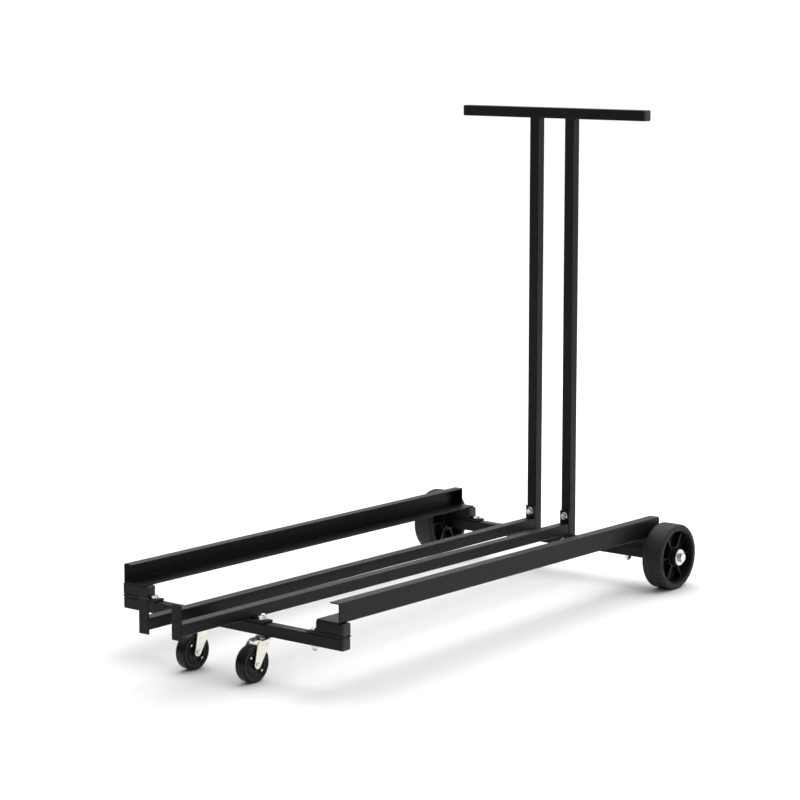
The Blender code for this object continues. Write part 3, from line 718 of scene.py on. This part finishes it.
def rear_hub(name, side):
    """Moulded hub: rim, boss and web with straight ribs between deep pockets on both faces.

    What differs between the faces is keyed by 1 for the outer one and -1 for the inner one.
    """
    node = f"{name}_rear_hub"
    low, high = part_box(node)
    near, far = sorted((abs(low.x), abs(high.x)))
    rim = (high.z - low.z) / 2
    bore = AXLE_R + 2 * GAP
    lip = rim - RIM_WALL
    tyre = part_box(f"{name}_rear_tyre")
    tyre_near, tyre_far = sorted((abs(tyre[0].x), abs(tyre[1].x)))
    boss_face = {1: far, -1: near}
    rim_face = {1: tyre_far - RIM_SETBACK, -1: tyre_near + RIM_SETBACK}
    rib_face = {1: rim_face[1] - 0.0079, -1: rim_face[-1] + 0.0045}
    floor = {1: rib_face[1] - 0.0134, -1: rib_face[-1] + 0.0157}
    ease = 0.0006
    ramp = 0.0008
    lean_out = 0.0010

    def columns(radius):
        """Angles round the hub with how deep the pocket is at each, ribs kept straight."""
        pitch = 2 * math.pi / SPOKES
        rib = math.asin(SPOKE_HALF / radius)
        wall = math.asin((SPOKE_HALF + POCKET_FILLET) / radius)
        angles = []
        for k in range(SPOKES):
            start = pitch * (k + 0.5)
            for share in (-1.0, -0.5, 0.0, 0.5, 1.0):
                angles.append((start + rib * share, 0.0))
            angles.append((start + (rib + wall) / 2, 0.5))
            angles.append((start + wall, 1.0))
            for share in (0.25, 0.5, 0.75):
                angles.append((start + wall + (pitch - 2 * wall) * share, 1.0))
            angles.append((start + pitch - wall, 1.0))
            angles.append((start + pitch - (rib + wall) / 2, 0.5))
        return angles

    def rows(out):
        """(radius, distance along, share of pocket depth) from the bore out to the rim."""
        top, edge, rim_top = boss_face[out], rib_face[out], rim_face[out]
        made = [(bore, top - out * ease, 0.0), (bore + ease, top, 0.0), (BOSS_R - 0.0030, top, 0.0)]
        made += [(BOSS_R - 0.0018, top - out * ease, 0.0), (BOSS_R - 0.0012, top - out * 0.0022, 0.0)]
        made += [(BOSS_R, edge + out * ease, 0.0), (BOSS_R + 0.0010, edge, 0.0)]
        inner, outer = BOSS_R + 0.0034, lip - 0.0022
        made += [(inner - 2 * ramp, edge, 0.0), (inner - ramp, edge, 0.5)]
        steps = 6
        for step in range(steps):
            made.append((inner + (outer - inner) * step / steps, edge, 1.0))
        made += [(outer, edge, 1.0), (outer + 0.0009, edge, 0.5), (outer + 0.0018, edge, 0.0)]
        made += [(lip - 0.0006, edge + out * 0.0002, 0.0), (lip, edge + out * 0.0010, 0.0)]
        made += [(lip + lean_out * 0.4, rim_top - out * ease, 0.0)]
        made += [(lip + lean_out, rim_top, 0.0), (rim - EASE, rim_top, 0.0)]
        made += [(rim, rim_top - out * EASE, 0.0)]
        return made

    rings = []
    for out in (1, -1):
        half = []
        for radius, distance, share in rows(out):
            ring = []
            for angle, depth in columns(max(radius, BOSS_R)):
                t = distance + (floor[out] - distance) * smooth_step(share * depth)
                ring.append(on_axis("X", side * t, radius * math.sin(angle), radius * math.cos(angle)) + AXLE)
            half.append(ring)
        rings += half if out == 1 else half[::-1]
    piece(f"{node}.ribbed", loft(rings, closed=True), "hub", f"{name}_rear_wheel", (node,), UPRIGHT)


def rear_axles():
    """The fixed washer and hex bolt outside each rear wheel."""
    for name, side in SIDES:
        node = f"{name}_axle_washer"
        low, high = level_box(node)
        near, far = sorted((abs(low.x), abs(high.x)))
        radius = (high.z - low.z) / 2
        hole = AXLE_R + EASE
        ring = [(near, hole), (near, radius - 0.0006), (near + 0.0005, radius), (far - 0.0007, radius)]
        ring += [(far - 0.0001, radius - 0.0008), (far, radius - 0.0020), (far, hole)]
        piece(f"{node}.ring", lathe(ring, AXLE, "X", 72, side), "zinc", stands_for=(node,))
        node = f"{name}_axle_bolt"
        low, high = level_box(node)
        tip = max(abs(low.x), abs(high.x))
        length = abs(high.x - low.x) - AXLE_HEAD
        seat = Vector((side * (tip - AXLE_HEAD), AXLE.y, AXLE.z))
        profile = bolt_profile(AXLE_FLATS, AXLE_HEAD, AXLE_R, length, AXLE_THREAD)
        piece(f"{node}.hex", lathe(profile, seat, "X", 48, side), "zinc", stands_for=(node,))


def caster_wheel(name):
    """Hard wheel: crowned tread with eased shoulders, and rings and two rivets on both faces."""
    node = f"{name}_caster_wheel"
    body = f"{name}_caster_roller"
    centre = joint_at[f"{name}_caster_roll"]
    low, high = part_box(node)
    radius = (high.z - low.z) / 2
    hub = (high.x - low.x) / 2
    half = CASTER_HALF
    dish = half - 0.0046
    groove = half - 0.0014
    face = [(hub, 0.0043), (hub, 0.0084), (hub - 0.0004, 0.0090), (dish + 0.0016, 0.0098)]
    face += [(dish + 0.0002, 0.0110), (dish, 0.0128), (dish, 0.0190), (dish + 0.0006, 0.0204)]
    face += [(groove, 0.0218), (half - 0.0004, 0.0228), (half - 0.0002, 0.0240)]
    face += [(half - 0.0004, 0.0256), (groove, 0.0266), (groove - 0.0008, 0.0276)]
    face += [(groove - 0.0006, 0.0290), (half - 0.0008, 0.0306), (half, 0.0322)]
    middle = (half - CASTER_SHOULDER, radius - 0.0003 - CASTER_SHOULDER)
    face += arc(middle, CASTER_SHOULDER, 0, 84, 7)
    face += [(half - 0.0060, radius - 0.0002), (0.0006, radius - 0.0001), (0.0, radius)]
    profile = face + [(-t, r) for t, r in reversed(face[:-1])]
    piece(f"{node}.moulded", lathe(profile, centre, "X", 96), "caster", body, (node,), UPRIGHT)

    head = [(half - 0.0030, 0.0), (half - 0.0030, RIVET_R), (half - 0.0002, RIVET_R)]
    head += [(half + 0.0004, RIVET_R - 0.0006), (half + 0.0005, 0.0)]
    reach = Vector((0.0, -0.0157, 0.0164))
    for where, flip in SIDES:
        for turn, spot in enumerate((reach, -reach)):
            rivet = lathe(head, centre + spot, "X", 24, flip)
            piece(f"{node}.{where}_rivet{turn}", rivet, "zinc", body, (), UPRIGHT)


def combined(base, steps):
    """One closed mesh from a base and a row of (operation, mesh) steps."""
    objects = []
    for index, bm in enumerate([base] + [other for _, other in steps]):
        bmesh.ops.recalc_face_normals(bm, faces=bm.faces)
        mesh = bpy.data.meshes.new(f"step.{index}")
        bm.to_mesh(mesh)
        bm.free()
        objects.append(bpy.data.objects.new(mesh.name, mesh))
        bpy.context.scene.collection.objects.link(objects[-1])
    for (operation, _), other in zip(steps, objects[1:]):
        modifier = objects[0].modifiers.new(other.name, "BOOLEAN")
        modifier.operation = operation
        modifier.solver = "EXACT"
        modifier.object = other
    solid = objects[0].evaluated_get(bpy.context.evaluated_depsgraph_get()).to_mesh()
    bm = bmesh.new()
    bm.from_mesh(solid)
    for obj in objects:
        bpy.data.objects.remove(obj, do_unlink=True)
    return bm


def crown_ring(z, inset, half):
    """One level of the fork's crown: round about the pivot, squarer over the wheel."""
    middle = CROWN_FRONT + CROWN_CORNER
    corner = half - CROWN_CORNER
    outline = arc((0.0, 0.0), half - inset, 0, 180, 28)
    outline += arc((-corner, middle), CROWN_CORNER - inset, 180, 270, 10)
    outline += arc((corner, middle), CROWN_CORNER - inset, 270, 360, 10)
    return [Vector((x, y, z)) for x, y in outline]


def caster_fork(name):
    """Pressed fork: a dished crown with a rolled edge, and two tapering legs down to the axle."""
    node = f"{name}_caster_fork"
    pivot = joint_at[f"{name}_caster_turn"] * Vector((1, 1, 0))
    axle = joint_at[f"{name}_caster_roll"] - pivot
    low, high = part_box(node)
    half = (high.x - low.x) / 2
    top = high.z - EASE
    foot = high.z - CROWN_SKIRT
    levels = []
    steps = 5
    for step in range(steps + 1):
        angle = math.radians(90 * step / steps)
        levels.append((top - CROWN_ROLL * (1 - math.cos(angle)), CROWN_ROLL * (1 - math.sin(angle))))
    levels += [(foot, 0.0), (foot, FORK_SHEET), (top - FORK_SHEET, FORK_SHEET)]
    crown = loft([crown_ring(z, inset, half) for z, inset in levels])

    root, brow = top - 0.0010, high.z - 0.0002
    rib = [(root, 0.0105), (brow, 0.0110), (high.z, 0.0118), (high.z, 0.0142)]
    rib += [(brow, 0.0150), (root, 0.0156)]
    parts = [("UNION", lathe(rib, Vector(), "Z"))]
    rear = 0.0030
    shoulder = top - FORK_SHEET / 2
    outline = [(rear, foot), (rear - FORK_SHEET, shoulder), (CROWN_FRONT + 0.0080, shoulder)]
    outline += [(CROWN_FRONT - 0.0010, foot)] + arc((axle.y, axle.z), FORK_TIP_R, 188, 326, 14)
    outer = half - 0.0007
    for start in (-outer, outer - FORK_SHEET):
        rings = [[Vector((x, y, z)) for y, z in outline] for x in (start, start + FORK_SHEET)]
        parts.append(("UNION", loft(rings)))
    below, above, hole = foot - 0.0100, high.z + 0.0100, STEM_R + GAP
    bore = [(below, 0.0), (below, hole), (above, hole), (above, 0.0)]
    parts.append(("DIFFERENCE", lathe(bore, Vector(), "Z", 48)))
    fork = combined(crown, parts)
    body = f"{name}_caster_swivel"
    piece(f"{node}.pressed", fork, "fork", body, (node,), Matrix.Translation(pivot), ease=EASE)


def caster_axle(name):
    """The rivet through the fork's legs, with a low domed head on each."""
    node = f"{name}_caster_axle"
    low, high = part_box(node)
    reach = (high.x - low.x) / 2
    head = (high.z - low.z) / 2
    dome = [(reach, 0.0), (reach - 0.0001, 0.40 * head), (reach - 0.0005, 0.75 * head)]
    dome += [(reach - 0.0011, 0.96 * head), (reach - 0.0015, head), (reach - 0.0016, 0.0040)]
    profile = dome + [(-t, radius) for t, radius in reversed(dome)]
    rivet = lathe(profile, joint_at[f"{name}_caster_roll"], "X", 40)
    piece(f"{node}.rivet", rivet, "zinc", f"{name}_caster_swivel", (node,), UPRIGHT)


def caster_stem(name):
    """The fixed half of the swivel: kingpin, race plate, boss and the threaded stem with its nut."""
    node = f"{name}_caster_stem"
    pivot = joint_at[f"{name}_caster_turn"] * Vector((1, 1, 0))
    low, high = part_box(node)
    nut_low, nut_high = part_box(f"{name}_caster_nut")
    race = (high.x - low.x) / 2
    race_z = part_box(f"{name}_caster_fork")[1].z + GAP
    boss_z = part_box("front_cross_beam")[0].z
    pin_head = 0.0074
    profile = [(high.z, 0.0), (high.z, 0.0030), (high.z - 0.0006, 0.0040)]
    profile += thread(high.z - 0.0012, nut_low.z, STEM_R)
    profile += [(boss_z - 0.0002, STEM_R), (boss_z - 0.0002, 0.0090), (boss_z - 0.0006, 0.0097)]
    profile += [(race_z + 0.0026, 0.0102), (race_z + 0.0020, 0.0114), (race_z + 0.0018, race - 0.0016)]
    profile += [(race_z + 0.0012, race - 0.0004), (race_z + 0.0005, race), (race_z, race - 0.0006)]
    profile += [(race_z, STEM_R), (low.z + 0.0029, STEM_R), (low.z + 0.0027, pin_head)]
    profile += [(low.z + 0.0006, pin_head), (low.z, pin_head - 0.0008), (low.z, 0.0)]
    piece(f"{node}.turned", lathe(profile, pivot, "Z", 72), "zinc", "frame", (node,), UPRIGHT)

    node = f"{name}_caster_nut"
    profile = nut_profile(nut_high.y - nut_low.y, nut_low.z, nut_high.z, STEM_R + 0.0001)
    piece(f"{node}.hex", lathe(profile, pivot, "Z", 48), "zinc", "frame", (node,), UPRIGHT)


def wheels():
    for name, side in SIDES:
        rear_tyre(name, side)
        rear_hub(name, side)
        caster_wheel(name)
        caster_fork(name)
        caster_axle(name)
        caster_stem(name)


def floor():
    """A seamless pale floor, wide enough to reach the horizon.

    It is seen a little darker around the cart than it lights it, a painted shade under and around the cart,
    so that the faint shadows show.
    """
    bm = bmesh.new()
    bmesh.ops.create_grid(bm, x_segments=1, y_segments=1, size=200.0)
    mesh = bpy.data.meshes.new("studio_floor")
    bm.to_mesh(mesh)
    bm.free()
    g = Graph("studio_floor")
    lighting = g.blend(g.noise(0.6), grey(0.90), grey(0.92))
    away = g.tree.nodes.new("ShaderNodeVectorMath")
    away.operation = "LENGTH"
    g.link(g.place, away.inputs[0])
    # painted shade: the camera sees the floor darker near the cart, grey 0.66 within 0.8 m of the middle,
    # fading to the lit colour by 3 m
    seen = g.blend(g.spread(away.outputs["Value"], 0.0, 1.0, 0.8, 3.0), grey(0.66), lighting)
    path = g.tree.nodes.new("ShaderNodeLightPath")
    # only camera rays get the painted shade; light bouncing off the floor uses the lit colour
    colour = g.blend(path.outputs["Is Camera Ray"], lighting, seen)
    g.finish(colour, 0.85, g.bump(g.noise(40.0), 0.02, 0.001))
    mesh.materials.append(g.material)
    obj = bpy.data.objects.new("studio_floor", mesh)
    bpy.context.scene.collection.objects.link(obj)


def softbox(name, place, aim, size, power):
    light = bpy.data.lights.new(name, "AREA")
    light.shape = "RECTANGLE"
    light.size, light.size_y = size
    light.energy = power
    obj = bpy.data.objects.new(name, light)
    obj.location = place
    obj.rotation_euler = (Vector(aim) - Vector(place)).to_track_quat("-Z", "Y").to_euler()
    bpy.context.scene.collection.objects.link(obj)


def studio_world():
    """White sweep behind the cart, dimmer room in front, bright ceiling; the camera sees plain white."""
    world = bpy.data.worlds.new("studio")
    bpy.context.scene.world = world
    world.use_nodes = True
    tree = world.node_tree
    tree.nodes.clear()
    place = tree.nodes.new("ShaderNodeTexCoord")
    split = tree.nodes.new("ShaderNodeSeparateXYZ")
    tree.links.new(place.outputs["Generated"], split.inputs["Vector"])
    add = tree.nodes.new("ShaderNodeMath")
    ramps = (("Y", -0.35, 0.45, 0.12, 0.90), ("Z", 0.30, 0.90, 0.0, 1.10))
    for index, (axis, start, end, dim, bright) in enumerate(ramps):
        ramp = tree.nodes.new("ShaderNodeMapRange")
        tree.links.new(split.outputs[axis], ramp.inputs["Value"])
        ramp.inputs["From Min"].default_value = start
        ramp.inputs["From Max"].default_value = end
        ramp.inputs["To Min"].default_value = dim
        ramp.inputs["To Max"].default_value = bright
        tree.links.new(ramp.outputs["Result"], add.inputs[index])
    seen = tree.nodes.new("ShaderNodeBackground")
    seen.inputs["Strength"].default_value = 1.0
    lit = tree.nodes.new("ShaderNodeBackground")
    tree.links.new(add.outputs["Value"], lit.inputs["Strength"])
    path = tree.nodes.new("ShaderNodeLightPath")
    mix = tree.nodes.new("ShaderNodeMixShader")
    tree.links.new(path.outputs["Is Camera Ray"], mix.inputs["Fac"])
    tree.links.new(lit.outputs["Background"], mix.inputs[1])
    tree.links.new(seen.outputs["Background"], mix.inputs[2])
    for background in (seen, lit):
        background.inputs["Color"].default_value = (1.0, 1.0, 1.0, 1.0)
    output = tree.nodes.new("ShaderNodeOutputWorld")
    tree.links.new(mix.outputs["Shader"], output.inputs["Surface"])


def camera():
    """A long lens low over the right front corner, in the chassis's own leaned frame."""
    lens = bpy.data.cameras.new("camera")
    lens.sensor_width = 36.0
    lens.lens = VIEW_LENS
    obj = bpy.data.objects.new("camera", lens)
    turn = Matrix.Rotation(VIEW_TURN, 4, "Z") @ Matrix.Rotation(math.pi / 2 - VIEW_DIP, 4, "X")
    obj.matrix_world = TILT @ Matrix.Translation(AXLE + VIEW_FROM) @ turn
    bpy.context.scene.collection.objects.link(obj)
    bpy.context.scene.camera = obj


def stage():
    floor()
    studio_world()
    softbox("top_softbox", (-0.6, 1.2, 3.4), (0.0, 0.0, 0.0), (3.6, 3.6), 120.0)
    softbox("rim_softbox", (2.8, 3.0, 2.2), (0.0, 0.2, 0.4), (2.0, 2.0), 30.0)
    camera()
    bpy.context.scene.view_settings.view_transform = "Standard"


beams()
rails()
spacers()
hardware()
handle()
rear_axles()
wheels()
stage()
